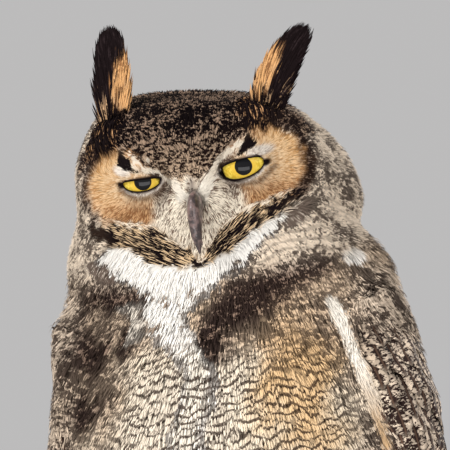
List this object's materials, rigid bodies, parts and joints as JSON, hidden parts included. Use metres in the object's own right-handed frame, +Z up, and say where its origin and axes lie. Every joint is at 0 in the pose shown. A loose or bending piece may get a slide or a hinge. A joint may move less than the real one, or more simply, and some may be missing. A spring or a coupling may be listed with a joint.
{
  "type": "great horned owl",
  "caption": "Life-size still model of a great horned owl standing on feathered feet, head lowered and turned, ear tufts raised.",
  "frame": {"origin": "on the floor, under the middle of the owl's box", "axes": "+Z up; the trunk faces -Y; the owl's left side is +X"},
  "size_m": [0.231, 0.2268, 0.4966],
  "materials": {
    "plumage": "soft barred body feathers in brown, buff, grey and white",
    "face_feathers": "fine rufous facial bristles with black rims and grey-white whiskers",
    "flight_feathers": "barred and vermiculated vanes, matt",
    "tuft_feathers": "black and rufous ear tuft feathers, matt",
    "leg_feathers": "short buff feathers, matt",
    "eye": "wet yellow iris, black pupil, clear cornea",
    "horn": "dark slate horn, half gloss"
  },
  "bodies": {
    "root": {"bill_lower": "horn", "bill_upper": "horn", "ear_tuft_left": "tuft_feathers", "ear_tuft_right": "tuft_feathers", "eye_left": "eye", "eye_right": "eye", "head": "face_feathers", "leg_left": "leg_feathers", "leg_right": "leg_feathers", "neck": "plumage", "tail": "flight_feathers", "talon_hind_left": "horn", "talon_hind_right": "horn", "talon_inner_left": "horn", "talon_inner_right": "horn", "talon_middle_left": "horn", "talon_middle_right": "horn", "talon_outer_left": "horn", "talon_outer_right": "horn", "toe_hind_left": "leg_feathers", "toe_hind_right": "leg_feathers", "toe_inner_left": "leg_feathers", "toe_inner_right": "leg_feathers", "toe_middle_left": "leg_feathers", "toe_middle_right": "leg_feathers", "toe_outer_left": "leg_feathers", "toe_outer_right": "leg_feathers", "trunk": "plumage", "wing_coverts_left": "flight_feathers", "wing_coverts_right": "flight_feathers", "wing_primaries_left": "flight_feathers", "wing_primaries_right": "flight_feathers", "wing_secondaries_left": "flight_feathers", "wing_secondaries_right": "flight_feathers"}
  },
  "joints": []
}
